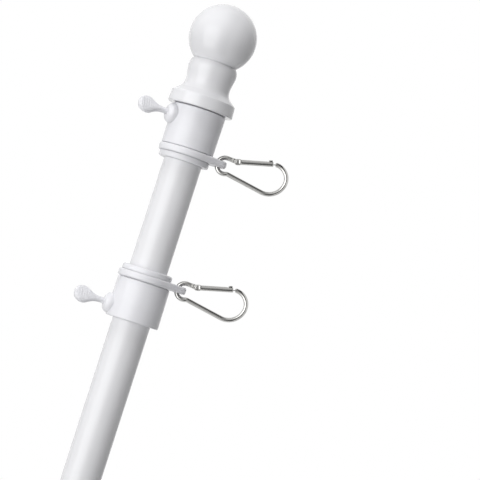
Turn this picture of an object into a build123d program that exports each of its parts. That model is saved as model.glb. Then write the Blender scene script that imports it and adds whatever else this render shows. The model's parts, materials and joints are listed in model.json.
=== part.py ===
"""House flagpole with a ball finial and two swivelling flag clips.

Millimetres. The origin is the centre of the foot's flat face, +Z runs up the pole and both
hooks point along +X. Each clip is a collar clamped to the pole by a thumb screw, with a ring
that turns in the collar's groove and a spring-gate hook hanging in the ring's ear.
"""

import os
from math import acos, asin, atan2, cos, degrees, hypot, radians, sin, sqrt

from build123d import *

os.makedirs("parts", exist_ok=True)

# Fits and cuts shared by every piece.
seat_clearance = 0.05
slide_clearance = 0.25
clamp_gap = 0.3
cut_overrun = 1.0

# Pole: a one-inch tube in three lengths, each with a necked spigot for the next one up.
pole_radius = 12.7
pole_wall = 1.1
section_length = 508.0
spigot_length = 60.0
seam_chamfer = 0.35
foot_cap_thickness = 4.0
foot_cap_inset = 0.2
foot_stem_length = 22.0
foot_wall = 1.8
foot_edge_round = 1.0

# Finial: each rise starts at the one before it, each overhang at the pole's surface.
flange_overhang = 9.2
flange_taper = 0.4
flange_edge_round = 0.8
flange_corner_round = 1.3
shoulder_height = 8.0
flare_rise = 3.6
flare_overhang = 4.2
waist_rise = 6.8
waist_overhang = 2.3
bead_rise = 9.1
bead_overhang = 3.6
seat_rise = 4.4
seat_overhang = 1.9
ball_overhang = 9.6
ball_rise = 17.4
ball_wall = 2.2
ball_stub_length = 12.0
ball_stub_wall = 1.5
finial_spigot_length = 32.0
finial_spigot_wall = 1.6
finial_floor = 2.6
base_wall = 2.4

# Clip collar: lengths run from its plain end towards the lip.
collar_wall = 4.5
collar_draft = 0.35
collar_length = 26.8
collar_edge_round = 0.9
neck_wall = 2.25
groove_width = 5.2
lip_stand = 1.6
lip_length = 3.6
lip_cover = 1.4
lip_round = 1.2
lip_foot_round = 0.5
boss_offset = 7.8
boss_top_radius = 3.4
boss_foot_radius = 6.9
boss_foot_depth = 2.0
boss_height = 4.6
boss_edge_round = 0.5
boss_foot_round = 0.7

# Swivel ring and its ear.
ring_band = 2.8
ring_clearance = 0.3
ring_thickness = 4.7
ring_edge_round = 1.3
ring_bore_round = 0.4
ear_reach = 4.2
ear_hole_radius = 3.0
ear_radius = 5.1
ear_hole_round = 0.7

# Thumb screw: a round shank and a flattened teardrop head.
screw_radius = 1.9
screw_tip_chamfer = 0.5
screw_hole_clearance = 0.1
screw_length = 29.2
head_radius = 6.0
head_length = 18.0
head_thickness = 4.9
head_edge_thickness = 3.5
head_edge_round = 0.6
upper_screw_turn = 23.5
lower_screw_turn = 14.0
head_twist = 30.0

# Hook: a bent wire in the plane of the pole's axis and +X, seen from the centre of its small loop.
hook_reach = 4.3
wire_radius = 1.5
loop_radius = 5.3
kink_radius = 2.5
back_slope = 10.4
sweep_radius = 11.5
sweep_end_angle = -12.8
crown_radius = 9.2
crown_centre = (31.7, 1.6)
pivot = (6.8, 4.85)
tang_thickness = 1.2
tang_radius = 1.5
tang_root = 1.2
wire_stop = 2.45

# Gate: a forked rod on a rivet, slotted at its tip for the hook's nose.
gate_radius = 1.7
gate_length = 23.6
gate_edge_round = 0.35
knuckle_radius = 2.0
knuckle_length = 2.3
fork_gap = 0.12
fork_depth = 2.0
rivet_radius = 0.6
rivet_stand = 0.25
rivet_edge = 0.15
rivet_press = 0.01
tip_gap = 1.4
tip_clearance = 0.2
tip_slot_depth = 4.0
tip_slot_floor = 1.0
nose_thickness = 1.0
nose_length = 4.5
nose_root = 1.2
nose_drop = 0.6
nose_head_width = 3.0
nose_head_height = 0.6
nose_head_gap = 0.15
nose_head_short = 1.9

# Heights of the clips below the top of the tube.
upper_clip_gap = 0.3
lower_clip_drop = 145.0

# Everything below follows from the sizes above.
bore_radius = pole_radius - pole_wall
spigot_radius = bore_radius - seat_clearance
pole_top = foot_cap_thickness + 3 * section_length
flange_radius = pole_radius + flange_overhang
shoulder_radius = flange_radius - flange_taper
flare_radius = pole_radius + flare_overhang
waist_radius = pole_radius + waist_overhang
bead_radius = pole_radius + bead_overhang
seat_radius = pole_radius + seat_overhang
flare_height = shoulder_height + flare_rise
waist_height = flare_height + waist_rise
bead_height = waist_height + bead_rise
seat_height = bead_height + seat_rise
ball_radius = pole_radius + ball_overhang
ball_centre_height = seat_height + ball_rise
base_bore = waist_radius - base_wall
collar_bore = pole_radius + slide_clearance
collar_radius = collar_bore + collar_wall
collar_end_radius = collar_radius + collar_draft
groove_radius = collar_bore + neck_wall
lip_radius = groove_radius + lip_stand
ring_bore = groove_radius + ring_clearance
ring_radius = ring_bore + ring_band
ear_hole_distance = ring_radius + ear_reach
hook_distance = ear_hole_distance + hook_reach
sweep_step = sweep_radius - crown_radius
sweep_centre = (
    crown_centre[0] - sweep_step * cos(radians(sweep_end_angle)),
    crown_centre[1] - sweep_step * sin(radians(sweep_end_angle)),
)
screw_tip = pole_radius + clamp_gap
screw_reach = screw_tip + screw_length
clip_length = collar_length + groove_width + lip_length
ring_offset = collar_length + groove_width / 2
upper_plain_end = pole_top - upper_clip_gap
lower_plain_end = pole_top - lower_clip_drop
upper_ring_height = upper_plain_end - ring_offset
lower_ring_height = lower_plain_end + ring_offset


def along(angle):
    """The level direction a thumb screw points in: -X turned towards -Y."""
    return Vector(-cos(radians(angle)), -sin(radians(angle)), 0)


def axial_section(origin, radial, axial):
    """A plane through a turned piece's axis: local x is the radius, local y runs along it."""
    return Plane(origin, x_dir=radial, z_dir=Vector(radial).cross(Vector(axial)))


def local(vector):
    """A vector's first two coordinates, which a sketch or line block reads on its own plane."""
    return (vector.X, vector.Y)


def export(piece, name):
    """Labels a finished piece and writes its STEP file."""
    piece.part.label = name
    export_step(piece.part, f"parts/{name}.step")


def pole_section(name, foot, spigot):
    """One length of tube standing on the height foot, with or without a necked top."""
    top = foot + section_length
    end = top + spigot_length
    inner = spigot_radius - pole_wall
    outline = [
        (bore_radius, foot),
        (pole_radius - seam_chamfer, foot),
        (pole_radius, foot + seam_chamfer),
        (pole_radius, top - seam_chamfer),
        (pole_radius - seam_chamfer, top),
    ]
    if spigot:
        outline += [
            (spigot_radius, top),
            (spigot_radius, end - seam_chamfer),
            (spigot_radius - seam_chamfer, end),
            (inner, end),
            (inner, top - pole_wall),
            (bore_radius, top - 2 * pole_wall),
        ]
    else:
        outline.append((bore_radius, top))
    with BuildPart() as tube:
        with BuildSketch(Plane.XZ):
            with BuildLine():
                Polyline(outline, close=True)
            make_face()
        revolve(axis=Axis.Z)
    export(tube, name)


def foot_plug():
    """The moulded plug that closes the tube's lower end: a flat cap on a hollow stem."""
    cap = pole_radius - foot_cap_inset
    with BuildPart() as plug:
        with BuildSketch(Plane.XZ) as section:
            with BuildLine():
                Polyline(
                    (0, 0),
                    (cap, 0),
                    (cap, foot_cap_thickness),
                    (spigot_radius, foot_cap_thickness),
                    (spigot_radius, foot_cap_thickness + foot_stem_length),
                    (spigot_radius - foot_wall, foot_cap_thickness + foot_stem_length),
                    (spigot_radius - foot_wall, foot_cap_thickness),
                    (0, foot_cap_thickness),
                    close=True,
                )
            make_face()
            fillet(section.vertices().group_by(Axis.X)[-1].sort_by(Axis.Y)[0], foot_edge_round)
        revolve(axis=Axis.Z)
    export(plug, "foot_plug")


def finial_base():
    """The turned base: flange, sloping shoulder, waisted neck, and a spigot in the tube."""
    inner = spigot_radius - finial_spigot_wall
    with BuildPart() as base:
        with BuildSketch(axial_section((0, 0, pole_top), (1, 0, 0), (0, 0, 1))) as section:
            with BuildLine():
                Polyline(
                    (seat_radius, seat_height),
                    (base_bore, seat_height),
                    (base_bore, finial_floor),
                    (inner, finial_floor),
                    (inner, -finial_spigot_length),
                    (spigot_radius, -finial_spigot_length),
                    (spigot_radius, 0),
                    (flange_radius, 0),
                    (shoulder_radius, shoulder_height),
                    (flare_radius, flare_height),
                )
                Spline(
                    (flare_radius, flare_height),
                    (waist_radius, waist_height),
                    (bead_radius, bead_height),
                    (seat_radius, seat_height),
                )
            make_face()
            fillet(section.vertices().sort_by(Axis.X)[-1], flange_edge_round)
            shoulder = (shoulder_radius, shoulder_height)
            fillet(section.vertices().sort_by_distance(shoulder)[0], flange_corner_round)
        revolve(axis=Axis.Z)
    export(base, "finial_base")


def finial_ball():
    """A hollow ball, flat where it sits on the base, with a stub down the base's bore."""
    inside = ball_radius - ball_wall
    floor = ball_rise - ball_wall
    stub = base_bore - seat_clearance
    with BuildPart() as ball:
        with BuildSketch(axial_section((0, 0, pole_top + ball_centre_height), (1, 0, 0), (0, 0, 1))):
            with BuildLine():
                CenterArc((0, 0), ball_radius, degrees(-asin(ball_rise / ball_radius)),
                          degrees(asin(ball_rise / ball_radius)) + 90)
                Line((0, ball_radius), (0, inside))
                CenterArc((0, 0), inside, 90, -90 - degrees(asin(floor / inside)))
                Polyline(
                    (sqrt(inside**2 - floor**2), -floor),
                    (stub - ball_stub_wall, -floor),
                    (stub - ball_stub_wall, -ball_rise - ball_stub_length),
                    (stub, -ball_rise - ball_stub_length),
                    (stub, -ball_rise),
                    (sqrt(ball_radius**2 - ball_rise**2), -ball_rise),
                )
            make_face()
        revolve(axis=Axis.Z)
    export(ball, "finial_ball")


def collar(name, height, axial, facing):
    """The clamped sleeve: a drafted body, a neck for the ring and a tapered boss for the screw."""
    foot = Vector(0, 0, height)
    axis = Vector(0, 0, axial)
    neck_end = clip_length - lip_cover
    boss_start = foot + axis * boss_offset
    boss_foot = collar_end_radius - boss_foot_depth
    boss_end = collar_end_radius + boss_height
    with BuildPart() as sleeve:
        with BuildSketch(axial_section(foot, facing, axis)) as section:
            with BuildLine():
                Polyline(
                    (0, 0),
                    (collar_end_radius, 0),
                    (collar_radius, collar_length),
                    (groove_radius, collar_length),
                    (groove_radius, neck_end),
                    (0, neck_end),
                    close=True,
                )
            make_face()
            corners = section.vertices().sort_by(Axis.X)
            fillet(corners[-2:], collar_edge_round)
        revolve(axis=Axis(foot, axis))
        with BuildSketch(axial_section(boss_start, axis, facing)):
            with BuildLine():
                Polyline(
                    (0, 0),
                    (boss_foot_radius, 0),
                    (boss_foot_radius, boss_foot),
                    (boss_top_radius, boss_end),
                    (0, boss_end),
                    close=True,
                )
            make_face()
        revolve(axis=Axis(boss_start, facing))
        fillet(sleeve.edges().filter_by(GeomType.BSPLINE), boss_foot_round)
        rim = sleeve.faces().sort_by(Axis(foot, facing))[-1].edges()
        fillet(rim, boss_edge_round)
        with BuildSketch(Plane(boss_start, x_dir=axis, z_dir=facing)):
            Circle(screw_radius + screw_hole_clearance)
        extrude(amount=boss_end, mode=Mode.SUBTRACT)
        with BuildSketch(Plane(foot, x_dir=facing, z_dir=axis)):
            Circle(collar_bore)
        extrude(amount=neck_end, mode=Mode.SUBTRACT)
    export(sleeve, name)


def retaining_lip(name, height, axial):
    """The rounded end cap that keeps the ring in its groove; it covers the end of the neck."""
    foot = Vector(0, 0, height)
    axis = Vector(0, 0, axial)
    start = collar_length + groove_width
    seat = clip_length - lip_cover
    with BuildPart() as lip:
        with BuildSketch(axial_section(foot, (1, 0, 0), axis)) as section:
            with BuildLine():
                Polyline(
                    (groove_radius + seat_clearance, start),
                    (lip_radius, start),
                    (lip_radius, clip_length),
                    (collar_bore, clip_length),
                    (collar_bore, seat),
                    (groove_radius + seat_clearance, seat),
                    close=True,
                )
            make_face()
            far = section.vertices().group_by(Axis.Y)[-1].sort_by(Axis.X)
            near = section.vertices().group_by(Axis.Y)[0].sort_by(Axis.X)
            fillet(far[-1], lip_round)
            fillet([far[0], near[-1]], lip_foot_round)
        revolve(axis=Axis(foot, axis))
    export(lip, name)


def swivel_ring(name, height):
    """The turning ring: a round band drawn out to an ear with a hole for the hook."""
    half = ring_thickness / 2
    plane = Plane.XY.offset(height)
    with BuildPart() as ring:
        with BuildSketch(plane):
            Circle(ring_radius)
            with Locations((ear_hole_distance, 0)):
                Circle(ear_radius)
            make_hull()
        extrude(amount=half, both=True)
        fillet(ring.faces().filter_by(Axis.Z).edges(), ring_edge_round)
        with BuildSketch(plane):
            Circle(ring_bore)
        extrude(amount=half, both=True, mode=Mode.SUBTRACT)
        with BuildSketch(plane):
            with Locations((ear_hole_distance, 0)):
                Circle(ear_hole_radius)
        extrude(amount=half, both=True, mode=Mode.SUBTRACT)
        circles = ring.edges().filter_by(GeomType.CIRCLE)
        fillet(circles.filter_by(lambda e: e.radius == ear_hole_radius), ear_hole_round)
        fillet(circles.filter_by(lambda e: e.radius == ring_bore), ring_bore_round)
    export(ring, name)


def thumb_screw(name, height, facing):
    """A plain shank and a teardrop head, flattened to a crowned paddle that leans back."""
    centre = Vector(0, 0, height)
    across = Vector(0, 0, 1).rotate(Axis((0, 0, 0), facing), head_twist)
    head_centre = screw_reach - head_radius
    neck = screw_reach - head_length
    reach = head_centre - neck
    blend = (reach**2 + screw_radius**2 - head_radius**2) / (2 * (head_radius - screw_radius))
    slope = degrees(atan2(screw_radius + blend, reach))
    with BuildPart() as screw:
        with BuildSketch(Plane(centre, x_dir=facing, z_dir=facing.cross(Vector(0, 0, 1)))):
            with BuildLine():
                Polyline(
                    (screw_reach, 0),
                    (screw_tip, 0),
                    (screw_tip, screw_radius - screw_tip_chamfer),
                    (screw_tip + screw_tip_chamfer, screw_radius),
                    (neck, screw_radius),
                )
                CenterArc((neck, screw_radius + blend), blend, -90, 90 - slope)
                CenterArc((head_centre, 0), head_radius, 180 - slope, slope - 180)
            make_face()
        revolve(axis=Axis(centre, facing))
        with BuildSketch(Plane(centre, x_dir=across, z_dir=facing)):
            with BuildLine():
                ThreePointArc(
                    (-head_radius, head_edge_thickness / 2),
                    (0, head_thickness / 2),
                    (head_radius, head_edge_thickness / 2),
                )
                Line((head_radius, head_edge_thickness / 2), (head_radius, -head_edge_thickness / 2))
                ThreePointArc(
                    (head_radius, -head_edge_thickness / 2),
                    (0, -head_thickness / 2),
                    (-head_radius, -head_edge_thickness / 2),
                )
                Line((-head_radius, -head_edge_thickness / 2), (-head_radius, head_edge_thickness / 2))
            make_face()
        extrude(amount=screw_reach + cut_overrun, mode=Mode.INTERSECT)
        fillet(screw.edges().filter_by(lambda e: e.center().dot(facing) > neck), head_edge_round)
    export(screw, name)


def hook_plane(height):
    """The plane of a hook: local x is +X and local y is +Z, from the centre of its small loop."""
    return Plane((hook_distance, 0, height), x_dir=(1, 0, 0), z_dir=(0, -1, 0))


def gate_slope():
    """How far the closed gate climbs, in radians: its line meets the bow's crown as a tangent."""
    across = crown_centre[0] - pivot[0]
    up = crown_centre[1] - pivot[1]
    return atan2(up, across) + asin(crown_radius / hypot(across, up))


def gate_plane(height):
    """The gate's plane: local x runs from the rivet along the rod, local y points outwards."""
    origin = hook_plane(height).from_local_coords(Vector(pivot[0], pivot[1], 0))
    return Plane(origin, x_dir=(cos(gate_slope()), 0, sin(gate_slope())), z_dir=(0, -1, 0))


def carabiner_hook(name, height):
    """The bent wire, its bow in two arcs, with a flat tang for the gate and a cross-headed nose."""
    plane = hook_plane(height)
    gate = gate_plane(height)
    pivot_distance = hypot(*pivot)
    start_angle = degrees(atan2(pivot[1], pivot[0]) + acos(loop_radius / pivot_distance))
    loop_start = Vector(loop_radius * cos(radians(start_angle)), loop_radius * sin(radians(start_angle)))
    run = Vector(*pivot) - loop_start
    wire_end = Vector(*pivot) - run.normalized() * wire_stop
    down = Vector(-sin(radians(back_slope)), -cos(radians(back_slope)))
    along_back = Vector(cos(radians(back_slope)), -sin(radians(back_slope)))
    back_distance = Vector(*sweep_centre).dot(down) + sweep_radius
    kink_depth = back_distance + kink_radius
    kink_reach = sqrt((loop_radius + kink_radius) ** 2 - kink_depth**2)
    kink = along_back * kink_reach + down * kink_depth
    kink_angle = degrees(atan2(kink.Y, kink.X))
    back_angle = -90 - back_slope
    crown_end_angle = 90 + degrees(gate_slope())
    nose = gate_length + tip_gap
    head = gate_radius + nose_head_gap
    with BuildPart() as hook:
        with BuildLine(plane) as path:
            Line(local(wire_end), local(loop_start))
            CenterArc((0, 0), loop_radius, start_angle, 360 + kink_angle - start_angle)
            CenterArc(local(kink), kink_radius, 180 + kink_angle, back_angle - kink_angle)
            Line(local(kink - down * kink_radius), local(Vector(*sweep_centre) + down * sweep_radius))
            CenterArc(sweep_centre, sweep_radius, back_angle, sweep_end_angle - back_angle)
            CenterArc(crown_centre, crown_radius, sweep_end_angle, crown_end_angle - sweep_end_angle)
        start = plane.from_local_coords(wire_end)
        heading = plane.from_local_coords(run.normalized()) - plane.origin
        with BuildSketch(Plane(start, x_dir=(0, 1, 0), z_dir=heading)):
            Circle(wire_radius)
        sweep(path=path.line)
        with BuildSketch(gate):
            with Locations((nose, 0)):
                Rectangle(2 * tip_slot_depth, 4 * wire_radius, align=(Align.MAX, Align.CENTER))
        extrude(amount=2 * wire_radius, both=True, mode=Mode.SUBTRACT)
        with BuildSketch(gate):
            with Locations((nose + nose_root, -nose_drop)):
                Rectangle(nose_length + nose_root, head + nose_head_height + nose_drop,
                          align=(Align.MAX, Align.MIN))
        extrude(amount=nose_thickness / 2, both=True)
        with BuildSketch(gate):
            with Locations((nose - nose_length, head)):
                Rectangle(nose_length - nose_head_short, nose_head_height, align=(Align.MIN, Align.MIN))
        extrude(amount=nose_head_width / 2, both=True)
        tang_plane = Plane(gate.origin, x_dir=heading, z_dir=gate.z_dir)
        with BuildSketch(tang_plane):
            Circle(tang_radius)
            Rectangle(wire_stop + tang_root, 2 * tang_radius, align=(Align.MAX, Align.CENTER))
            Circle(rivet_radius + rivet_press, mode=Mode.SUBTRACT)
        extrude(amount=tang_thickness / 2, both=True)
    export(hook, name)


def carabiner_gate(name, height):
    """The spring gate: a turned rod, forked over the tang and slotted for the nose."""
    gate = gate_plane(height)
    slot = nose_thickness / 2 + tip_clearance
    with BuildPart() as rod:
        with BuildSketch(gate) as section:
            with BuildLine():
                CenterArc((0, 0), knuckle_radius, 180, -90)
                Polyline(
                    (0, knuckle_radius),
                    (knuckle_length, knuckle_radius),
                    (knuckle_length + gate_edge_round, gate_radius),
                    (gate_length - gate_edge_round, gate_radius),
                    (gate_length, gate_radius - gate_edge_round),
                    (gate_length, 0),
                    (-knuckle_radius, 0),
                )
            make_face()
        revolve(axis=Axis(gate.origin, gate.x_dir))
        with BuildSketch(gate):
            with Locations((fork_depth, 0)):
                Rectangle(2 * knuckle_radius + fork_depth, 4 * knuckle_radius, align=(Align.MAX, Align.CENTER))
        extrude(amount=tang_thickness / 2 + fork_gap, both=True, mode=Mode.SUBTRACT)
        with BuildSketch(gate):
            with Locations((gate_length + cut_overrun, -tip_slot_floor)):
                Rectangle(tip_slot_depth + cut_overrun, 2 * gate_radius, align=(Align.MAX, Align.MIN))
        extrude(amount=slot, both=True, mode=Mode.SUBTRACT)
        with BuildSketch(gate):
            Circle(rivet_radius + seat_clearance)
        extrude(amount=2 * knuckle_radius, both=True, mode=Mode.SUBTRACT)
    export(rod, name)


def gate_rivet(name, height):
    """The rivet through fork and tang, standing a little proud on both sides."""
    with BuildPart() as rivet:
        with BuildSketch(gate_plane(height)):
            Circle(rivet_radius)
        extrude(amount=knuckle_radius + rivet_stand, both=True)
        chamfer(rivet.faces().filter_by(Axis.Y).edges(), rivet_edge)
    export(rivet, name)


def clip(side, height, axial, ring_height, screw_turn):
    """One flag clip: side names it, axial points from the collar's plain end to its lip."""
    facing = along(screw_turn)
    collar(f"{side}_collar", height, axial, facing)
    retaining_lip(f"{side}_retaining_lip", height, axial)
    swivel_ring(f"{side}_swivel_ring", ring_height)
    thumb_screw(f"{side}_thumb_screw", height + axial * boss_offset, facing)
    carabiner_hook(f"{side}_carabiner_hook", ring_height)
    carabiner_gate(f"{side}_carabiner_gate", ring_height)
    gate_rivet(f"{side}_gate_rivet", ring_height)


pole_section("pole_lower_section", foot_cap_thickness, True)
pole_section("pole_middle_section", foot_cap_thickness + section_length, True)
pole_section("pole_upper_section", foot_cap_thickness + 2 * section_length, False)
foot_plug()
finial_base()
finial_ball()
clip("upper", upper_plain_end, -1, upper_ring_height, upper_screw_turn)
clip("lower", lower_plain_end, 1, lower_ring_height, lower_screw_turn)
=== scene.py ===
"""Looks of a white house flagpole: gloss ball finial, enamelled tube and two flag clips."""

import json
import math

import bmesh
import bpy
import numpy as np
from mathutils import Matrix, Vector


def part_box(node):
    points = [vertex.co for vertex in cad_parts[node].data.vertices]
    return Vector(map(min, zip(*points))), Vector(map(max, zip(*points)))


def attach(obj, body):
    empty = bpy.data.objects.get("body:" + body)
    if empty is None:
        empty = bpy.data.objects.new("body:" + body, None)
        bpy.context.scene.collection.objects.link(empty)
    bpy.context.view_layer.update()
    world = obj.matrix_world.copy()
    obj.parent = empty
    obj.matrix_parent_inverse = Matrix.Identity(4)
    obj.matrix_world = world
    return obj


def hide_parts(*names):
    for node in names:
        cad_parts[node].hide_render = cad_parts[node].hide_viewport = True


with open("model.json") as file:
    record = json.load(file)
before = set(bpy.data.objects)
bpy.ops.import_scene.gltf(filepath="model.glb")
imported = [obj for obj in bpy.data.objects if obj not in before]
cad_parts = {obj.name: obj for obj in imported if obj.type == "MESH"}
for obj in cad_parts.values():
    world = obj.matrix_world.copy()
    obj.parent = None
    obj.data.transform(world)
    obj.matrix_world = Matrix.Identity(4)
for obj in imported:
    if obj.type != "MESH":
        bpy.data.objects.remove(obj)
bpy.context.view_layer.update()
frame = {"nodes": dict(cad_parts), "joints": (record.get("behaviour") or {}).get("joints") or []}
JOINTS = {joint["name"]: joint for joint in frame["joints"]}
SIDES = ("upper", "lower")
SECTIONS = ("pole_lower_section", "pole_middle_section", "pole_upper_section")
MM = 0.001
TUBE_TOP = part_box("pole_upper_section")[1].z
ORIGIN, X, Y, Z = (0, 0, 0), (1, 0, 0), (0, 1, 0), (0, 0, 1)
BLACK, WHITE = (0, 0, 0), (1, 1, 1)
PAPER_DARK, PAPER_PALE = (0.4, 0.4, 0.4), (0.43, 0.43, 0.43)

# Degrees between two faces above which the edge between them stays sharp
SHARP = 38

# Powers for section(): an ellipse, and a box with eased corners
ROUND, SQUARE = 2, 5

# Half the width of a ring that closes an end
POINT = 1e-6

# Sockets of a Mix node that mixes colours
MIX_FACTOR, MIX_FIRST, MIX_SECOND, MIX_RESULT = 0, 6, 7, 2

# Soft lamps: the setting of their power, their place and size in metres, and whether gloss shows them
LAMPS = {
    "left_softbox": ("key_level", (-0.86, -1.23, TUBE_TOP - 0.3), (1.9, 2.2), True),
    "back_softbox": ("back_level", (-0.25, 1.5, TUBE_TOP - 0.4), (1.8, 2.2), False),
    "right_softbox": ("right_level", (1.3, 0.9, TUBE_TOP - 0.4), (1.6, 2.2), False),
    "top_softbox": ("top_level", (-0.2, -0.35, TUBE_TOP + 1.25), (0.9, 0.9), False),
}

bl_info = {
    "name": "House flagpole",
    "version": (1, 0, 0),
    "blender": (4, 5, 0),
    "location": "3D View > Sidebar > Flagpole",
    "description": "Builds the looks of a white sectional flagpole with a ball finial and two flag clips",
    "category": "Object",
}


def length(name, description, value):
    """A length property whose default is given in millimetres."""
    return bpy.props.FloatProperty(
        name=name, description=description, default=value * MM, min=0, precision=5, unit="LENGTH")


def angle(name, description, value):
    """An angle property whose default is given in degrees."""
    return bpy.props.FloatProperty(
        name=name, description=description, default=math.radians(value), precision=3, unit="ROTATION")


def share(name, description, value):
    """A plain factor from 0 to 1."""
    return bpy.props.FloatProperty(
        name=name, description=description, default=value, min=0, max=1, subtype="FACTOR")


def level(name, description, value):
    """The strength of a light."""
    return bpy.props.FloatProperty(name=name, description=description, default=value, min=0)


def colour(name, description, value):
    """A linear colour."""
    return bpy.props.FloatVectorProperty(
        name=name, description=description, default=value, size=3, min=0, max=1, subtype="COLOR")


def place(name, description, value):
    """A point in the part's frame, in metres."""
    return bpy.props.FloatVectorProperty(
        name=name, description=description, default=value, size=3, precision=4, subtype="TRANSLATION")


class PoleSizes(bpy.types.PropertyGroup):
    """Tube and foot."""

    tube_radius: length("Tube radius", "Outside of the tube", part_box("pole_upper_section")[1].x / MM)
    tube_wall: length("Tube wall", "Thickness of the sheet that the tube is rolled from", 1.1)
    spigot_gap: length("Spigot gap", "Play of a necked end in the next length of tube", 0.05)
    seam_round: length("Seam round", "Roll at the rim of each length of tube", 0.35)
    foot_round: length("Foot round", "Rounding of the foot's rim", 1.0)
    foot_wall: length("Foot wall", "Wall of the foot's stem", 1.8)
    foot_dish: length("Foot dish", "Depth of the flat middle of the foot's underside", 0.5)
    foot_middle: length("Foot middle", "Radius of that flat middle", 2.0)
    groove_depth: length("Groove depth", "Depth of the groove round that middle", 0.75)
    groove_start: length("Groove start", "Inner radius of the groove's floor", 2.4)
    groove_end: length("Groove end", "Outer radius of the groove's floor", 5.5)
    groove_rim: length("Groove rim", "Radius where the groove meets the foot's face", 6.2)


class CollarSizes(bpy.types.PropertyGroup):
    """Clamped collars; lengths run from the plain end towards the lip."""

    bore: length("Bore", "Inside radius", 12.95)
    outside: length("Outside", "Radius beside the swivel ring", 17.45)
    draft: length("Draft", "How much wider the plain end is", 0.35)
    body: length("Body", "Length of the full-width part", 26.8)
    neck: length("Neck radius", "Radius of the neck that carries the ring", 15.2)
    edge_round: length("Edge round", "Rounding of the body's rims", 0.9)
    boss_foot: length("Boss foot", "Radius of the boss where it leaves the body", 6.7)
    boss_face: length("Boss face", "Radius of the boss's flat face", 2.9)
    boss_height: length("Boss height", "How far the boss stands off the plain end's rim", 3.9)
    boss_dome: length("Boss dome", "Height of the boss's rounded shoulder", 3.9)
    boss_root: length("Boss root", "How far outside the middle of the neck's wall the boss starts", 0.4)
    screw_hole: length("Screw hole", "Radius of the hole for the thumb screw", 2.0)
    hole_ease: length("Hole ease", "Chamfer at the mouth of that hole", 0.2)


class ScrewSizes(bpy.types.PropertyGroup):
    """Thumb screws, counted from the pole's axis."""

    tip: length("Tip", "Inner end of the shank", 13.0)
    reach: length("Reach", "Outer end of the head", 42.2)
    shank: length("Shank radius", "Radius of the plain shank", 1.9)
    thread_end: length("Thread end", "Where the thread runs out", 21.5)
    thread_pitch: length("Thread pitch", "Distance between two turns of the thread", 0.9)
    thread_depth: length("Thread depth", "Depth of the thread", 0.3)
    head_radius: length("Head radius", "Half the breadth of the paddle", 6.0)
    head_length: length("Head length", "Length of the head with its taper", 18.0)
    head_thickness: length("Head thickness", "Thickness of the paddle's middle", 4.9)
    rib_height: length("Rib height", "Height of the ribs across the paddle", 0.16)
    rib_pitch: length("Rib pitch", "Distance between two ribs", 1.7)
    twist: angle("Twist", "How far the paddle is turned from upright", 30)


class HookSizes(bpy.types.PropertyGroup):
    """Bent-wire hooks, seen from the centre of their small loop."""

    wire: length("Wire radius", "Radius of the hook's wire", 1.5)
    loop: length("Loop radius", "Radius of the small loop", 5.3)
    kink: length("Kink radius", "Radius of the reverse bend", 2.5)
    back_slope: angle("Back slope", "How far the straight back runs down", 10.4)
    sweep: length("Sweep radius", "Radius of the bow's lower arc", 11.5)
    sweep_end: angle("Sweep end", "Where the lower arc hands over to the upper one", -12.8)
    crown: length("Crown radius", "Radius of the bow's upper arc", 9.2)
    crown_reach: length("Crown reach", "How far out the upper arc's centre lies", 31.7)
    crown_rise: length("Crown rise", "How far up the upper arc's centre lies", 1.6)
    tang: length("Tang", "Thickness of the flattened end in the gate's fork", 1.2)
    tang_length: length("Tang length", "How far the tang stays flat past its rounded end", 2.5)
    tang_blend: length("Tang blend", "Length over which the tang turns into round wire", 1.8)
    end_ease: length("End ease", "Length over which the wire narrows at the nose", 0.6)
    end_taper: share("End taper", "How much of its radius the wire loses there", 0.35)
    nose: length("Nose", "Thickness of the flattened end in the gate's slot", 1.0)
    nose_root: length("Nose root", "How far the nose reaches below the gate's axis", 0.6)
    nose_bite: length("Nose bite", "How far the nose runs on past the wire's end", 1.2)
    nose_round: length("Nose round", "Rounding of the nose's edges", 0.2)
    nose_length: length("Nose length", "How far the nose reaches back from the wire's end", 4.5)
    nose_head: length("Nose head", "Half the width of the nose's cross head", 1.5)
    nose_head_length: length("Nose head length", "Length of that cross head along the gate", 2.6)
    nose_head_height: length("Nose head height", "Thickness of that cross head", 0.6)
    nose_head_gap: length("Nose head gap", "Room between the gate and that cross head", 0.15)
    nose_head_round: length("Nose head round", "Rounding of that cross head's edges", 0.28)


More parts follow.
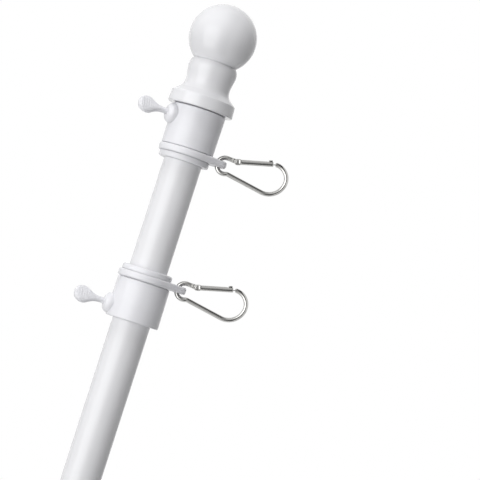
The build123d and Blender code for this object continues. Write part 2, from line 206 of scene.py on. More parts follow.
class GateSizes(bpy.types.PropertyGroup):
    """Sprung gates and their rivets."""

    rod: length("Rod radius", "Radius of the gate's rod", 1.7)
    span: length("Span", "Rivet to the gate's tip", 23.6)
    tip_gap: length("Tip gap", "Room between the gate's tip and the wire's end", 1.4)
    tip_round: length("Tip round", "Rounding of the rod's tip", 0.5)
    slot: length("Slot", "Width of the slot for the nose", 1.4)
    slot_depth: length("Slot depth", "Depth of that slot along the rod", 4.0)
    slot_floor: length("Slot floor", "How far below the rod's axis the slot ends", 1.0)
    knuckle: length("Knuckle radius", "Radius of the forked end, seen along the rivet", 2.0)
    knuckle_length: length("Knuckle length", "Rivet to the end of the knuckle", 2.3)
    swell_lead: length("Swell lead", "How far before the knuckle's end it starts to narrow", 0.4)
    swell_fade: length("Swell fade", "Length over which it narrows to the rod", 0.7)
    cheek: length("Cheek", "Half the width over the knuckle's flat sides", 1.66)
    cheek_lead: length("Cheek lead", "How far before the knuckle's end its sides start to round", 1.4)
    cheek_fade: length("Cheek fade", "Length over which they turn into the round rod", 2.2)
    cut_round: length("Cut round", "Rounding inside the fork and the slot", 0.1)
    fork: length("Fork", "Width of the fork's gap", 1.44)
    fork_depth: length("Fork depth", "Rivet to the floor of the fork", 2.0)
    rivet: length("Rivet radius", "Radius of the rivet's shank", 0.6)
    rivet_head: length("Rivet head", "Radius of the rivet's domed heads", 1.15)
    rivet_reach: length("Rivet reach", "Half the length over the rivet's heads", 2.25)
    rivet_play: length("Rivet play", "Room between a head and the knuckle's side", 0.04)
    rivet_dome: length("Rivet dome", "Rounding of a head's outer edge", 0.42)
    rivet_edge: length("Rivet edge", "Rounding of a head's inner edge", 0.1)


class FinishColours(bpy.types.PropertyGroup):
    """Colours and gloss of the four finishes."""

    enamel: colour("Enamel", "White stoving enamel on the tube", (0.872, 0.872, 0.892))
    finial: colour("Finial", "White gloss plastic of the finial", (0.85, 0.85, 0.872))
    clip: colour("Clip", "Natural white plastic of the clips", (0.878, 0.878, 0.912))
    metal: colour("Metal", "Plated steel of hooks, gates and rivets", (0.56, 0.555, 0.54))
    enamel_roughness: share("Enamel roughness", "Gloss of the tube", 0.22)
    finial_roughness: share("Finial roughness", "Gloss of the finial", 0.09)
    clip_roughness: share("Clip roughness", "Gloss of the clips", 0.22)
    metal_roughness: share("Metal roughness", "Gloss of the plated steel", 0.12)


class StageSettings(bpy.types.PropertyGroup):
    """Camera and lights."""

    aim: place("Aim", "Point at the middle of the picture", (0.0508, 0, TUBE_TOP - 0.0727))
    eye: place("Eye", "Where the camera stands", (0.0508, -1.6, TUBE_TOP - 0.155))
    roll: angle("Roll", "How far the pole leans in the picture", 17.77)
    width: length("Width", "Width of the picture at the aim", 312)
    key_level: level("Key level", "Power of the soft light at the left", 25)
    back_level: level("Back level", "Power of the soft light behind", 11)
    right_level: level("Right level", "Power of the weak light behind at the right", 3)
    top_level: level("Top level", "Power of the soft light overhead", 10.5)
    fill_level: level("Fill level", "Strength of the even light from all round", 0.158)
    floor_level: level("Floor level", "How much paler the floor looks than the lamps make it", 0.66)
    # The arch is no lamp: its bright edge glows, a painted reflection that only the gloss shows
    arch_level: level("Arch level", "Brightness of the lit edge of the arch that the gloss shows", 0.85)


class FlagpoleSettings(bpy.types.PropertyGroup):
    """Everything that a user may change."""

    pole: bpy.props.PointerProperty(type=PoleSizes)
    collar: bpy.props.PointerProperty(type=CollarSizes)
    screw: bpy.props.PointerProperty(type=ScrewSizes)
    hook: bpy.props.PointerProperty(type=HookSizes)
    gate: bpy.props.PointerProperty(type=GateSizes)
    finish: bpy.props.PointerProperty(type=FinishColours)
    stage: bpy.props.PointerProperty(type=StageSettings)


class Socket:
    """An output of a node, used in ordinary arithmetic."""

    def __init__(self, nodes, output):
        self.nodes, self.output = nodes, output

    def maths(self, operation, other):
        """A Math node on this output and another one or a number."""
        return self.nodes.node("ShaderNodeMath", {"operation": operation}, {0: self, 1: other})

    def __add__(self, other):
        return self.maths("ADD", other)

    def __mul__(self, other):
        return self.maths("MULTIPLY", other)

    __radd__ = __add__
    __rmul__ = __mul__


class Nodes:
    """A node tree and the maker of its nodes."""

    def __init__(self, tree):
        self.tree = tree

    def node(self, kind, settings, sockets, output=0):
        """Adds a node: its settings are set first, then the values or links of its sockets."""
        made = self.tree.nodes.new(kind)
        for key, value in settings.items():
            setattr(made, key, value)
        for key, value in sockets.items():
            self.feed(made.inputs[key], value)
        return Socket(self, made.outputs[output])

    def feed(self, socket, value):
        """Links an output to a socket, or sets the socket to a plain value."""
        if isinstance(value, Socket):
            self.tree.links.new(value.output, socket)
        else:
            socket.default_value = value

    def seen(self):
        """Above 0 for rays from the camera or off a gloss, and 0 for scattered light."""
        return sum(self.node("ShaderNodeLightPath", {}, {}, output=ray)
                   for ray in ("Is Camera Ray", "Is Glossy Ray", "Is Transmission Ray"))


class Finish(Nodes):
    """A material with its shader."""

    def __init__(self, name):
        self.material = bpy.data.materials.new(name)
        self.material.use_nodes = True
        super().__init__(self.material.node_tree)
        self.shader = self.tree.nodes["Principled BSDF"]

    def surface(self, sockets):
        """Sets or links sockets of the shader."""
        for key, value in sockets.items():
            self.feed(self.shader.inputs[key], value)

    def noise(self, cells, detail):
        """Noise with that many cells a metre along X, Y and Z, fixed to the piece."""
        spot = self.node("ShaderNodeTexCoord", {}, {}, output="Object")
        grid = self.node("ShaderNodeVectorMath", {"operation": "MULTIPLY"}, {0: spot, 1: cells})
        return self.node("ShaderNodeTexNoise", {}, {"Vector": grid, "Scale": 1, "Detail": detail})

    def between(self, factor, first, second):
        """A colour between two others."""
        colours = {MIX_FACTOR: factor, MIX_FIRST: (*first, 1), MIX_SECOND: (*second, 1)}
        return self.node("ShaderNodeMix", {"data_type": "RGBA"}, colours, output=MIX_RESULT)

    def bump(self, height, strength, distance):
        """A normal that follows a height."""
        sockets = {"Height": height, "Strength": strength, "Distance": distance}
        return self.node("ShaderNodeBump", {}, sockets)


def shaded(tone, by):
    """A colour made darker, or brighter, by a factor."""
    return [min(1, part * by) for part in tone]


def tube_enamel(settings):
    """Stoved enamel on drawn tube: faint lengthwise lines, a little orange peel and fine specks."""
    finish = Finish("tube_enamel")
    lines = finish.noise((900, 900, 6), 2)
    peel = finish.noise((520, 520, 420), 1)
    cloud = finish.noise((18, 18, 9), 3)
    finish.surface({
        "Base Color": finish.between(cloud, shaded(settings.enamel, 0.96), shaded(settings.enamel, 1.03)),
        "Roughness": settings.enamel_roughness - 0.06 + 0.07 * cloud + 0.06 * lines,
        "Normal": finish.bump(peel + 0.5 * lines, 0.12, 0.0002),
        "Specular IOR Level": 0.5,
    })
    return finish.material


def finial_gloss(settings):
    """Gloss plastic with a faint cloudiness and the shallow waviness of a moulded skin."""
    finish = Finish("finial_gloss")
    cloud = finish.noise((45, 45, 45), 4)
    skin = finish.noise((160, 160, 160), 2)
    finish.surface({
        "Base Color": finish.between(cloud, shaded(settings.finial, 0.97), shaded(settings.finial, 1.02)),
        "Roughness": settings.finial_roughness - 0.03 + 0.06 * cloud,
        "Normal": finish.bump(skin, 0.05, 0.0004),
        "Coat Weight": 0.25 * cloud,
        "Coat Roughness": 0.04,
    })
    return finish.material


def clip_nylon(settings):
    """Natural white nylon: slightly see-through, satin, with fine grain from the mould."""
    finish = Finish("clip_nylon")
    cloud = finish.noise((70, 70, 110), 4)
    grain = finish.noise((1500, 1500, 1500), 2)
    finish.surface({
        "Base Color": finish.between(cloud, shaded(settings.clip, 0.96), shaded(settings.clip, 1.03)),
        "Roughness": settings.clip_roughness - 0.05 + 0.1 * cloud + 0.05 * grain,
        "Normal": finish.bump(grain + cloud, 0.1, 0.0002),
        "Subsurface Weight": 0.2,
        "Subsurface Radius": (1, 1, 1),
        "Subsurface Scale": 0.0015,
    })
    return finish.material


def plated_steel(settings):
    """Bright plating over drawn wire: drawing lines, soft clouds and duller flecks."""
    finish = Finish("plated_steel")
    lines = finish.noise((90, 2600, 2600), 3)
    cloud = finish.noise((260, 260, 260), 4)
    finish.surface({
        "Base Color": finish.between(cloud, shaded(settings.metal, 0.88), shaded(settings.metal, 1.1)),
        "Metallic": 1.0,
        "Roughness": settings.metal_roughness - 0.06 + 0.1 * cloud + 0.08 * lines,
        "Normal": finish.bump(lines, 0.08, 0.0001),
    })
    return finish.material


FINISHES = {"white_enamel": tube_enamel, "finial_plastic": finial_gloss,
            "clip_plastic": clip_nylon, "bright_metal": plated_steel}


def finish_of(slot):
    """The material of one of the record's slots, made when it is first asked for."""
    made = bpy.data.materials.get(FINISHES[slot].__name__)
    return made or FINISHES[slot](bpy.context.scene.flagpole.finish)


def dress(node, slot):
    """Gives a CAD node that keeps its shape the finish of its slot."""
    made = frame["nodes"][node]
    made.data.materials.clear()
    made.data.materials.append(finish_of(slot))


def piece(name, shells, body, node, slot, sharp=SHARP):
    """One piece from closed shells of points and faces; it rides on body and stands for node."""
    skin = bmesh.new()
    for points, faces in shells:
        corners = [skin.verts.new(point) for point in points]
        for face in faces:
            skin.faces.new([corners[i] for i in face])
    bmesh.ops.remove_doubles(skin, verts=skin.verts[:], dist=1e-7)
    bmesh.ops.dissolve_degenerate(skin, edges=skin.edges[:], dist=1e-8)
    bmesh.ops.recalc_face_normals(skin, faces=skin.faces[:])
    mesh = bpy.data.meshes.new(name)
    skin.to_mesh(mesh)
    skin.free()
    mesh.shade_smooth()
    mesh.set_sharp_from_angle(angle=math.radians(sharp))
    mesh.materials.append(finish_of(slot))
    made = bpy.data.objects.new(name, mesh)
    bpy.context.scene.collection.objects.link(made)
    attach(made, body)
    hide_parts(node)
    return made


def rounded(corners, steps=6):
    """A closed outline of (x, y, round) corners, each round drawn as an arc."""
    drawn = []
    for i, (x, y, radius) in enumerate(corners):
        corner = np.array((x, y))
        if radius == 0:
            drawn.append(corner)
            continue
        before = np.array(corners[i - 1][:2]) - corner
        after = np.array(corners[(i + 1) % len(corners)][:2]) - corner
        before, after = before / np.linalg.norm(before), after / np.linalg.norm(after)
        half = math.acos(np.clip(before @ after, -1, 1)) / 2
        middle = (before + after) / np.linalg.norm(before + after)
        centre = corner + middle * radius / math.sin(half)
        first = corner + before * radius / math.tan(half)
        last = corner + after * radius / math.tan(half)
        for turn in np.linspace(0, 1, steps + 1):
            spoke = (first - centre) * (1 - turn) + (last - centre) * turn
            drawn.append(centre + spoke / np.linalg.norm(spoke) * radius)
    return np.array(drawn)


def lathe(outline, origin, axis, radial, segments=96):
    """A shell turned from a closed outline of (radius, distance along the axis)."""
    axis, radial = np.array(axis, float), np.array(radial, float)
    side = np.cross(axis, radial)
    turns = np.linspace(0, 2 * math.pi, segments, endpoint=False)
    rings = [np.array(origin) + axis * along + radius * (
        np.outer(np.cos(turns), radial) + np.outer(np.sin(turns), side)) for radius, along in outline]
    return ring_shell([*rings, rings[0]], capped=False)


def ring_shell(rings, capped=True):
    """A shell through rings of equal size, its two ends closed if capped."""
    count = len(rings[0])
    points = np.concatenate(rings)
    faces = []
    for row in range(len(rings) - 1):
        for i in range(count):
            j = (i + 1) % count
            here, there = row * count, (row + 1) * count
            faces.append((here + i, here + j, there + j, there + i))
    if capped:
        faces.append(tuple(range(count)))
        faces.append(tuple(range(len(points) - count, len(points))))
    return points, faces


def section(centre, broad, narrow, width, depth, power, segments):
    """One ring: an ellipse at power 2, squarer above it."""
    turns = np.linspace(0, 2 * math.pi, segments, endpoint=False)
    across, through = np.cos(turns), np.sin(turns)
    across = np.sign(across) * np.abs(across) ** (2 / power) * width
    through = np.sign(through) * np.abs(through) ** (2 / power) * depth
    return centre + np.outer(across, broad) + np.outer(through, narrow)


def eased(value):
    """A smooth step from 0 to 1."""
    value = np.clip(value, 0, 1)
    return value * value * (3 - 2 * value)


def rounded_block(low, high, radius, origin, axes):
    """A shell: a box in local axes with rounded edges."""
    skin = bmesh.new()
    bmesh.ops.create_cube(skin, size=1)
    low, high = np.array(low), np.array(high)
    for corner in skin.verts:
        corner.co = Vector((low + high) / 2 + np.array(corner.co) * (high - low))
    bmesh.ops.bevel(skin, geom=skin.edges[:], offset=radius, segments=3, profile=0.5, affect="EDGES")
    skin.verts.ensure_lookup_table()
    corners = np.array([corner.co for corner in skin.verts])
    points = np.array(origin) + corners @ np.array(axes)
    faces = [tuple(corner.index for corner in face.verts) for face in skin.faces]
    skin.free()
    return points, faces


def carve(made, shells, width=0.09 * MM, corner=40):
    """Cuts closed shells out of a piece and eases the new edges."""
    cutter = bpy.data.objects.new("cutter", bpy.data.meshes.new("cutter"))
    points, faces = [], []
    for corners, sides in shells:
        faces += [tuple(i + len(points) for i in side) for side in sides]
        points += list(corners)
    cutter.data.from_pydata(points, [], faces)
    bpy.context.scene.collection.objects.link(cutter)
    cut = made.modifiers.new("cut", "BOOLEAN")
    cut.object, cut.operation, cut.solver = cutter, "DIFFERENCE", "EXACT"
    ease = made.modifiers.new("ease", "BEVEL")
    ease.width, ease.segments = width, 2
    ease.limit_method, ease.angle_limit = "ANGLE", math.radians(corner)
    carved = bpy.data.meshes.new_from_object(made.evaluated_get(bpy.context.evaluated_depsgraph_get()))
    made.modifiers.clear()
    old = made.data
    made.data = carved
    carved.shade_smooth()
    carved.set_sharp_from_angle(angle=math.radians(SHARP))
    bpy.data.meshes.remove(old)
    bpy.data.objects.remove(cutter)


class FLAGPOLE_OT_tube(bpy.types.Operator):
    """Three lengths of tube, each with its rolled rims and necked end"""

    bl_idname = "flagpole.tube"
    bl_label = "Tube"

    def execute(self, context):
        sizes = context.scene.flagpole.pole
        outside, wall, roll = sizes.tube_radius, sizes.tube_wall, sizes.seam_round
        bore = outside - wall
        neck = bore - sizes.spigot_gap
        for name in SECTIONS:
            low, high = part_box(name)
            rim = min(high.z, low.z + (TUBE_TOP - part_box("pole_lower_section")[0].z) / len(SECTIONS))
            outline = [(bore, low.z, 0), (outside, low.z, roll), (outside, rim, roll)]
            if high.z - rim > wall:
                outline += [(neck, rim, 0), (neck, high.z, roll), (neck - wall, high.z, 0),
                            (neck - wall, rim - wall, 0), (bore, rim - 2 * wall, 0)]
            else:
                outline += [(bore, rim, 0)]
            shell = lathe(rounded(outline), ORIGIN, Z, X, segments=128)
            piece(name.replace("pole", "tube"), [shell], "pole", name, "white_enamel")
        return {"FINISHED"}


class FLAGPOLE_OT_foot(bpy.types.Operator):
    """The moulded plug in the tube's lower end"""

    bl_idname = "flagpole.foot"
    bl_label = "Foot plug"

    def execute(self, context):
        sizes = context.scene.flagpole.pole
        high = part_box("foot_plug")[1]
        cap, stem = high.x, sizes.tube_radius - sizes.tube_wall - sizes.spigot_gap
        ledge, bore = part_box("pole_lower_section")[0].z, stem - sizes.foot_wall
        dish, groove = sizes.foot_dish, sizes.groove_depth
        shell = lathe(rounded([
            (0, dish, 0), (sizes.foot_middle, dish, 0), (sizes.groove_start, groove, 0),
            (sizes.groove_end, groove, dish / 3), (sizes.groove_rim, 0, dish / 2),
            (cap, 0, sizes.foot_round), (cap, ledge, dish / 2), (stem, ledge, 0), (stem, high.z, dish),
            (bore, high.z, 0), (bore, ledge, 0), (0, ledge, 0)]), ORIGIN, Z, X)
        piece("foot_cap", [shell], "pole", "foot_plug", "clip_plastic")
        return {"FINISHED"}


class FLAGPOLE_OT_finial(bpy.types.Operator):
    """Finish of the ball finial and its turned base"""

    bl_idname = "flagpole.finial"
    bl_label = "Finial"

    def execute(self, context):
        dress("finial_base", "finial_plastic")
        dress("finial_ball", "finial_plastic")
        return {"FINISHED"}


class FLAGPOLE_OT_collars(bpy.types.Operator):
    """The two clamped collars with their domed bosses, and the finish of lips and swivel rings"""

    bl_idname = "flagpole.collars"
    bl_label = "Collars and rings"

    def execute(self, context):
        sizes = context.scene.flagpole.collar
        for side in SIDES:
            dress(f"{side}_retaining_lip", "clip_plastic")
            dress(f"{side}_swivel_ring", "clip_plastic")
            joint = JOINTS[f"{side}_screw_turn"]
            low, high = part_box(f"{side}_collar")
            boss = Vector(joint["pos_m"])
            upward = high.z - boss.z > boss.z - low.z
            plain, axis = (low.z, (0, 0, 1)) if upward else (high.z, (0, 0, -1))
            shells = [self.sleeve(sizes, high.z - low.z, plain, axis),
                      self.boss(sizes, boss, joint["axis"])]
            piece(f"{side}_clamp_collar", shells, f"{side}_clip", f"{side}_collar", "clip_plastic")
        return {"FINISHED"}

    def sleeve(self, sizes, full, plain, axis):
        """The collar's wall, from its plain end over the body to the neck."""
        rim, rounding = sizes.outside + sizes.draft, sizes.edge_round
        outline = rounded([
            (sizes.bore, 0, rounding / 3), (rim, 0, rounding), (sizes.outside, sizes.body, rounding),
            (sizes.neck, sizes.body, 0), (sizes.neck, full, 0), (sizes.bore, full, 0)])
        return lathe(outline, (0, 0, plain), axis, X, segments=144)

    def boss(self, sizes, foot, axis, steps=14):
        """A domed boss, its inner end sunk in the collar's wall and its face bored for the screw."""
        axis = np.array(Vector(axis).normalized())
        face = sizes.outside + sizes.draft + sizes.boss_height
        hole, ease = sizes.screw_hole, sizes.hole_ease
        turns = np.linspace(0, math.pi / 2, steps)
        inner = (sizes.bore + sizes.neck) / 2 + sizes.boss_root
        dome = [(sizes.boss_face + (sizes.boss_foot - sizes.boss_face) * math.cos(turn),
                 face - sizes.boss_dome * (1 - math.sin(turn))) for turn in turns]
        outline = [(hole, inner), (sizes.boss_foot, inner), *dome, (hole + ease, face), (hole, face - ease)]
        return lathe(outline, foot, axis, Z, segments=72)


class FLAGPOLE_OT_screws(bpy.types.Operator):
    """The two thumb screws with threaded shanks and ribbed paddle heads"""

    bl_idname = "flagpole.screws"
    bl_label = "Thumb screws"

    def execute(self, context):
        sizes = context.scene.flagpole.screw
        for side in SIDES:
            joint = JOINTS[f"{side}_screw_turn"]
            axis = Vector(joint["axis"]).normalized()
            broad = Matrix.Rotation(sizes.twist, 3, axis) @ Vector(Z)
            shell = self.screw(sizes, np.array(joint["pos_m"]), np.array(axis), np.array(broad))
            piece(f"{side}_wing_screw", [shell], f"{side}_screw", f"{side}_thumb_screw", "clip_plastic",
                  sharp=50)
        return {"FINISHED"}

    def screw(self, sizes, origin, axis, broad, segments=64):
        """The threaded shank, and the head that opens from it into a paddle."""
        narrow = np.cross(axis, broad)
        return ring_shell([*self.thread(sizes, origin, axis, broad, narrow, segments),
                           *self.head(sizes, origin, axis, broad, narrow, segments)])

    def thread(self, sizes, origin, axis, broad, narrow, segments, steps=10, start=0.3, power=0.25):
        """Rings along the shank, small at its tip, with a thread that runs out before the head."""
        turns = np.linspace(0, 2 * math.pi, segments, endpoint=False)
        rings = []
        for along in np.arange(sizes.tip, sizes.thread_end, sizes.thread_pitch / steps):
            cut = np.abs((along / sizes.thread_pitch - turns / (2 * math.pi)) % 1 - 0.5) * 2
            full = eased((along - sizes.tip) / sizes.thread_pitch) * (1 - start) + start
            deep = sizes.thread_depth * cut * eased((sizes.thread_end - along) / MM)
            radius = (sizes.shank - deep) * full**power
            rings.append(origin + axis * along + np.outer(np.cos(turns) * radius, broad)
                         + np.outer(np.sin(turns) * radius, narrow))
        return rings

    def head(self, sizes, origin, axis, broad, narrow, segments, steps=150, end_steps=14, end_share=0.1,
             rim_share=0.35, rim_power=2.6, squarer=0.9, ribs=5):
        """Rings along the neck and the paddle, close together at its end, with ribs across its faces."""
        shank, head, reach = sizes.shank, sizes.head_radius, sizes.reach
        neck = reach - sizes.head_length
        middle = reach - head
        gap = middle - neck
        blend = (gap**2 + shank**2 - head**2) / (2 * (head - shank))
        meet = neck + gap * blend / (blend + head)
        end, rim = head * end_share, head * rim_share
        rings = []
        for along in [*np.linspace(sizes.thread_end, reach - end, steps),
                      *(reach - end * np.linspace(1, 0.001, end_steps) ** 2)[1:]]:
            if along < neck:
                width = shank
            elif along < meet:
                width = shank + blend - math.sqrt(blend**2 - (along - neck) ** 2)
            else:
                width = math.sqrt(max(head**2 - (along - middle) ** 2, 0))
            flat = eased((along - neck) / (middle - neck))
            thick = min(width, shank + (sizes.head_thickness / 2 - shank) * flat)
            edge = max(0, (along - (reach - rim)) / rim)
            thick *= max(1 - edge**rim_power, 0) ** (1 / rim_power)
            spine = origin + axis * along
            ring = section(spine, broad, narrow, width, thick, ROUND + squarer * flat, segments)
            spot = (along - middle) / sizes.rib_pitch
            if abs(spot) < ribs / 2:
                side = (ring - spine) @ narrow / max(thick, MM)
                on_face = np.clip(np.abs(side) * 2 - 0.6, 0, 1)
                off_rim = np.clip(2.6 - 4 * np.abs((ring - spine) @ broad / head), 0, 1)
                lift = sizes.rib_height * max(0, math.cos(2 * math.pi * spot)) ** 2
                ring = ring + np.outer(np.sign(side) * lift * on_face * off_rim, narrow)
            rings.append(ring)
        return rings


def polar(turn, radius=1):
    """A point in a hook's plane at an angle from the way that the hook points."""
    return radius * np.array((math.cos(turn), math.sin(turn)))


def bearing(way):
    """The angle of a direction in a hook's plane."""
    return math.atan2(way[1], way[0])


class HookPlan:
    """The middle line of one hook's wire and the line of its gate, seen from the small loop's centre."""

    def __init__(self, side, hook, gate):
        self.loop = np.array(JOINTS[f"{side}_hook_swing"]["pos_m"])
        self.pivot = (np.array(JOINTS[f"{side}_gate_open"]["pos_m"]) - self.loop)[[0, 2]]
        self.crown = np.array((hook.crown_reach, hook.crown_rise))
        way = self.crown - self.pivot
        self.slope = bearing(way) + math.asin(hook.crown / np.linalg.norm(way))
        self.gate = polar(self.slope)
        self.nose = gate.span + gate.tip_gap
        self.spots, self.headings = [], []
        self.trace(hook)

    def run(self, first, last, count):
        """Adds a straight stretch."""
        for part in np.linspace(0, 1, count, endpoint=False):
            self.spots.append(first + (last - first) * part)
            self.headings.append((last - first) / np.linalg.norm(last - first))

    def bend(self, centre, radius, first, last, count):
        """Adds an arc from one angle to another."""
        for turn in np.linspace(first, last, count, endpoint=False):
            self.spots.append(centre + polar(turn, radius))
            self.headings.append(polar(turn + math.copysign(math.pi / 2, last - first)))

    def trace(self, hook):
        """From the tang round the loop, the kink, the straight back and the bow's arcs to the nose."""
        top = bearing(self.pivot) + math.acos(hook.loop / np.linalg.norm(self.pivot))
        start = polar(top, hook.loop)
        down = polar(-math.pi / 2 - hook.back_slope)
        back = polar(-hook.back_slope)
        sweep = self.crown - polar(hook.sweep_end, hook.sweep - hook.crown)
        depth = sweep @ down + hook.sweep + hook.kink
        kink = back * math.sqrt((hook.loop + hook.kink) ** 2 - depth**2) + down * depth
        turn, rest = bearing(kink), bearing(down)
        end = self.slope + math.acos((self.nose - (self.crown - self.pivot) @ self.gate) / hook.crown)
        tang = (self.pivot - start) / np.linalg.norm(self.pivot - start)
        self.run(self.pivot + tang * hook.wire * 0.999, start, 60)
        self.bend(np.zeros(2), hook.loop, top, 2 * math.pi + turn, 90)
        self.bend(kink, hook.kink, math.pi + turn, rest + math.pi, 24)
        self.run(kink - down * hook.kink, sweep + down * hook.sweep, 40)
        self.bend(sweep, hook.sweep, rest, hook.sweep_end, 60)
        self.bend(self.crown, hook.crown, hook.sweep_end, end, 60)
        self.spots.append(self.crown + polar(end, hook.crown))
        self.headings.append(-self.gate)

    def lift(self, spot):
        """A point of the plane in the part's frame."""
        return self.loop + np.array((spot[0], 0, spot[1]))

    def gate_axes(self):
        """Directions along the gate, through it and out of the hook."""
        return np.array(((self.gate[0], 0, self.gate[1]), Y, (-self.gate[1], 0, self.gate[0])))


class FLAGPOLE_OT_hooks(bpy.types.Operator):
    """The two bent-wire hooks with a flattened tang and a cross-headed nose"""

    bl_idname = "flagpole.hooks"
    bl_label = "Hooks"

    def execute(self, context):
        hook, gate = context.scene.flagpole.hook, context.scene.flagpole.gate
        for side in SIDES:
            plan = HookPlan(side, hook, gate)
            shells = [self.wire(plan, hook), *self.nose(plan, hook, gate)]
            piece(f"{side}_wire_hook", shells, f"{side}_hook", f"{side}_carabiner_hook", "bright_metal")
        return {"FINISHED"}

    def wire(self, plan, hook, segments=40):
        """The swept wire: flat at the tang, round along its run and eased in at the nose."""
        wire, tang = hook.wire, hook.tang / 2
        along = np.concatenate([[0], np.cumsum(np.linalg.norm(np.diff(plan.spots, axis=0), axis=1))])
        rings = []
        for spot, ahead, far in zip(plan.spots, plan.headings, along):
            round_share = eased((far - wire - hook.tang_length) / hook.tang_blend)
            width = math.sqrt(max(wire**2 - max(wire - far, 0) ** 2, POINT**2))
            width -= hook.end_taper * wire * (1 - eased((along[-1] - far) / hook.end_ease))
            through = tang + (min(width, wire) - tang) * round_share
            inward = np.array((-ahead[1], 0, ahead[0]))
            rings.append(section(plan.lift(spot), inward, np.array(Y), width, through,
                                 SQUARE - (SQUARE - ROUND) * round_share, segments))
        return ring_shell(rings)

    def nose(self, plan, hook, gate):
        """A blade that enters the gate's slot, and the cross head on it."""
        foot, axes = plan.lift(plan.pivot), plan.gate_axes()
        half, root = hook.nose / 2, -hook.nose_root
        back, roof = plan.nose - hook.nose_length, gate.rod + hook.nose_head_gap
        front, top = back + hook.nose_head_length, roof + hook.nose_head_height
        neck = rounded_block((back, -half, root), (plan.nose + hook.nose_bite, half, 0),
                             hook.nose_round, foot, axes)
        blade = rounded_block((back, -half, root), (front, half, top), hook.nose_round, foot, axes)
        cross = rounded_block((back, -hook.nose_head, roof), (front, hook.nose_head, top),
                              hook.nose_head_round, foot, axes)
        return neck, blade, cross


class FLAGPOLE_OT_gates(bpy.types.Operator):
    """The two sprung gates, forked over the tang and slotted for the nose, and their rivets"""

    bl_idname = "flagpole.gates"
    bl_label = "Gates and rivets"

    def execute(self, context):
        hook, gate = context.scene.flagpole.hook, context.scene.flagpole.gate
        for side in SIDES:
            plan = HookPlan(side, hook, gate)
            foot, axes = plan.lift(plan.pivot), plan.gate_axes()
            rod = piece(f"{side}_gate_rod", [self.rod(gate, foot, axes)], f"{side}_gate",
                        f"{side}_carabiner_gate", "bright_metal")
            reach = 2 * gate.knuckle
            fork = rounded_block((-reach, -gate.fork / 2, -reach), (gate.fork_depth, gate.fork / 2, reach),
                                 gate.cut_round, foot, axes)
            slot = rounded_block((gate.span - gate.slot_depth, -gate.slot / 2, -gate.slot_floor),
                                 (gate.span + reach, gate.slot / 2, reach), gate.cut_round, foot, axes)
            carve(rod, [fork, slot])
            piece(f"{side}_domed_rivet", [self.rivet(gate, foot)], f"{side}_hook", f"{side}_gate_rivet",
                  "bright_metal")
        return {"FINISHED"}

    def rod(self, gate, foot, axes, segments=48):
        """A round rod that swells into a flat-sided knuckle round the rivet."""
        ahead, through, outward = axes
        tip = gate.span - gate.tip_round
        stations = [*(-gate.knuckle * np.cos(np.linspace(0.06, math.pi / 2, 16))),
                    *np.linspace(0, gate.knuckle_length + MM, 20)[1:],
                    *np.linspace(gate.knuckle_length + MM, tip, 40)[1:],
                    *(tip + gate.tip_round * np.sin(np.linspace(0, math.pi / 2, 8)))[1:]]
        rings = []
        for far in stations:
            past = far - gate.knuckle_length
            swell = 1 - eased((past + gate.swell_lead) / gate.swell_fade)
            flat = 1 - eased((past + gate.cheek_lead) / gate.cheek_fade)
            height = gate.rod + (gate.knuckle - gate.rod) * swell
            if far < 0:
                height = math.sqrt(gate.knuckle**2 - far**2)
            over = max(far - tip, 0)
            height -= gate.tip_round - math.sqrt(max(gate.tip_round**2 - over**2, 0))
            depth = height + (gate.cheek - height) * flat
            rings.append(section(foot + ahead * far, outward, through, height, depth,
                                 ROUND + (SQUARE - ROUND) * flat, segments))
        return ring_shell(rings)

    def rivet(self, gate, foot):
        """A pin with a domed head at each end."""
        seat = gate.cheek + gate.rivet_play
        half = [(0, gate.rivet_reach, 0), (gate.rivet_head, gate.rivet_reach, gate.rivet_dome),
                (gate.rivet_head, seat, gate.rivet_edge), (gate.rivet, seat, 0)]
        outline = half + [(radius, -along, bend) for radius, along, bend in reversed(half)]
        return lathe(rounded(outline), foot, Y, X, segments=48)


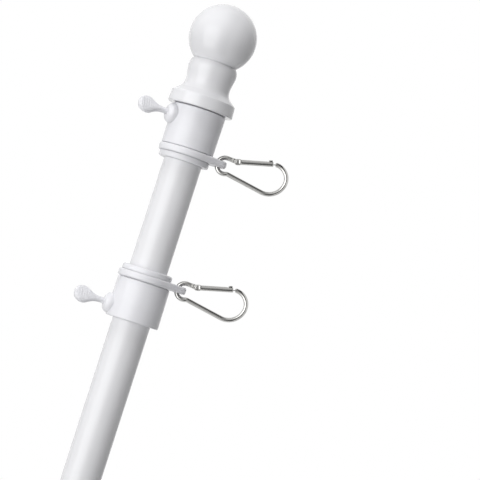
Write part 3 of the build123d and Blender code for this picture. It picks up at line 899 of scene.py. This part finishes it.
class FLAGPOLE_OT_stage(bpy.types.Operator):
    """Floor, soft lights, a glowing arch that paints a reflection into the gloss, and the camera"""

    bl_idname = "flagpole.stage"
    bl_label = "Stage"

    def execute(self, context):
        settings = context.scene.flagpole.stage
        self.floor(settings)
        self.arch(settings)
        self.sky(context.scene, settings)
        for name, (power, spot, size, in_gloss) in LAMPS.items():
            self.softbox(name, getattr(settings, power), spot, size, in_gloss)
        self.camera(context.scene, settings)
        context.scene.view_settings.view_transform = "Standard"
        return {"FINISHED"}

    def sheet(self, name, points, faces, finish):
        """A surface of the stage, which isn't part of the flagpole."""
        mesh = bpy.data.meshes.new(name)
        mesh.from_pydata(points, [], faces)
        mesh.materials.append(finish.material)
        made = bpy.data.objects.new(name, mesh)
        bpy.context.scene.collection.objects.link(made)
        return made

    def floor(self, settings, half=15, drop=0.5 * MM):
        """A wide sheet of paper, paler to the camera and in gloss than the light that it scatters."""
        finish = Finish("floor_paper")
        grain = finish.noise((30, 30, 30), 3)
        finish.surface({
            "Base Color": finish.between(grain, PAPER_DARK, PAPER_PALE),
            "Roughness": 0.8,
            "Emission Color": finish.between(finish.seen(), BLACK, WHITE),
            "Emission Strength": settings.floor_level,
        })
        corners = [(x * half, y * half, -drop) for x, y in ((-1, -1), (1, -1), (1, 1), (-1, 1))]
        self.sheet("floor", corners, [(0, 1, 2, 3)], finish)

    def arch(self, settings, radius=1.3, left=-0.32, dark=0.34, right=0.62, low=-65, high=98,
             rows=24, columns=5):
        """An arch from below the camera to overhead that glows and is seen only in gloss: a painted
        reflection, grey at the left and dark at the right.
        """
        finish = Finish("shaded_arch")
        spot = finish.node("ShaderNodeTexCoord", {}, {}, output="Object")
        across = finish.node("ShaderNodeSeparateXYZ", {}, {0: spot})
        # Painted reflection: over a near-black sheet the arch glows grey at the left and fades to dark at
        # the right
        painted_reflection = finish.node("ShaderNodeMapRange", {"interpolation_type": "SMOOTHSTEP"},
                            {"Value": across, "From Min": left, "From Max": dark, "To Min": 1, "To Max": 0})
        finish.surface({
            "Base Color": (0.02, 0.02, 0.02, 1),
            "Roughness": 0.9,
            "Emission Color": finish.between(painted_reflection, BLACK, WHITE),
            "Emission Strength": settings.arch_level,
        })
        turns = np.radians(np.linspace(low, high, rows))
        points = [(x, -radius * math.cos(turn), TUBE_TOP + radius * math.sin(turn)) for turn in turns
                  for x in np.linspace(left, right, columns)]
        faces = [(i, i + 1, i + columns + 1, i + columns)
                 for row in range(rows - 1) for i in range(row * columns, (row + 1) * columns - 1)]
        made = self.sheet("shaded_arch", points, faces, finish)
        made.visible_camera = made.visible_diffuse = made.visible_shadow = False

    def sky(self, scene, settings):
        """White to the camera and in gloss, and an even fill light for all else."""
        world = bpy.data.worlds.new("studio")
        scene.world = world
        world.use_nodes = True
        nodes = Nodes(world.node_tree)
        nodes.tree.nodes.remove(nodes.tree.nodes["Background"])
        fill, white = [nodes.node("ShaderNodeBackground", {}, {"Color": (*WHITE, 1), "Strength": strength})
                       for strength in (settings.fill_level, 1)]
        mixed = nodes.node("ShaderNodeMixShader", {}, {0: nodes.seen(), 1: fill, 2: white})
        nodes.feed(nodes.tree.nodes["World Output"].inputs["Surface"], mixed)

    def softbox(self, name, power, spot, size, in_gloss):
        """A rectangular lamp that faces the top of the tube."""
        lamp = bpy.data.lights.new(name, "AREA")
        lamp.shape, lamp.size, lamp.size_y, lamp.energy = "RECTANGLE", *size, power
        made = bpy.data.objects.new(name, lamp)
        bpy.context.scene.collection.objects.link(made)
        made.location = spot
        way = Vector((0, 0, TUBE_TOP)) - made.location
        made.rotation_euler = way.to_track_quat("-Z", "Y").to_euler()
        made.visible_camera, made.visible_glossy = False, in_gloss

    def camera(self, scene, settings):
        """A camera that sees the set width at its aim, rolled as the photograph is."""
        lens = bpy.data.cameras.new("camera")
        made = bpy.data.objects.new("camera", lens)
        scene.collection.objects.link(made)
        eye, aim = Vector(settings.eye), Vector(settings.aim)
        turn = (aim - eye).to_track_quat("-Z", "Y").to_matrix() @ Matrix.Rotation(settings.roll, 3, "Z")
        made.matrix_world = Matrix.Translation(eye) @ turn.to_4x4()
        lens.sensor_width = 36
        lens.lens = lens.sensor_width * (aim - eye).length / settings.width
        lens.clip_start, lens.clip_end = 0.05, 60
        scene.camera = made


PIECES = (FLAGPOLE_OT_tube, FLAGPOLE_OT_foot, FLAGPOLE_OT_finial, FLAGPOLE_OT_collars,
          FLAGPOLE_OT_screws, FLAGPOLE_OT_hooks, FLAGPOLE_OT_gates, FLAGPOLE_OT_stage)


class FLAGPOLE_PT_sidebar(bpy.types.Panel):
    """The flagpole's pieces and their sizes"""

    bl_idname = "FLAGPOLE_PT_sidebar"
    bl_label = "Flagpole"
    bl_space_type = "VIEW_3D"
    bl_region_type = "UI"
    bl_category = "Flagpole"

    def draw(self, context):
        for part in PIECES:
            self.layout.operator(part.bl_idname)
        for group in ("pole", "collar", "screw", "hook", "gate", "finish", "stage"):
            box = self.layout.box()
            settings = getattr(context.scene.flagpole, group)
            for name in settings.__annotations__:
                box.prop(settings, name)


CLASSES = (PoleSizes, CollarSizes, ScrewSizes, HookSizes, GateSizes, FinishColours, StageSettings,
           FlagpoleSettings, *PIECES, FLAGPOLE_PT_sidebar)


def register():
    """Adds the classes and the scene's settings."""
    for made in CLASSES:
        bpy.utils.register_class(made)
    bpy.types.Scene.flagpole = bpy.props.PointerProperty(type=FlagpoleSettings)


def unregister():
    """Takes them away again."""
    del bpy.types.Scene.flagpole
    for made in reversed(CLASSES):
        bpy.utils.unregister_class(made)


def main():
    """Builds every piece and the stage."""
    register()
    bpy.ops.flagpole.tube()
    bpy.ops.flagpole.foot()
    bpy.ops.flagpole.finial()
    bpy.ops.flagpole.collars()
    bpy.ops.flagpole.screws()
    bpy.ops.flagpole.hooks()
    bpy.ops.flagpole.gates()
    bpy.ops.flagpole.stage()


if __name__ == "__main__":
    main()
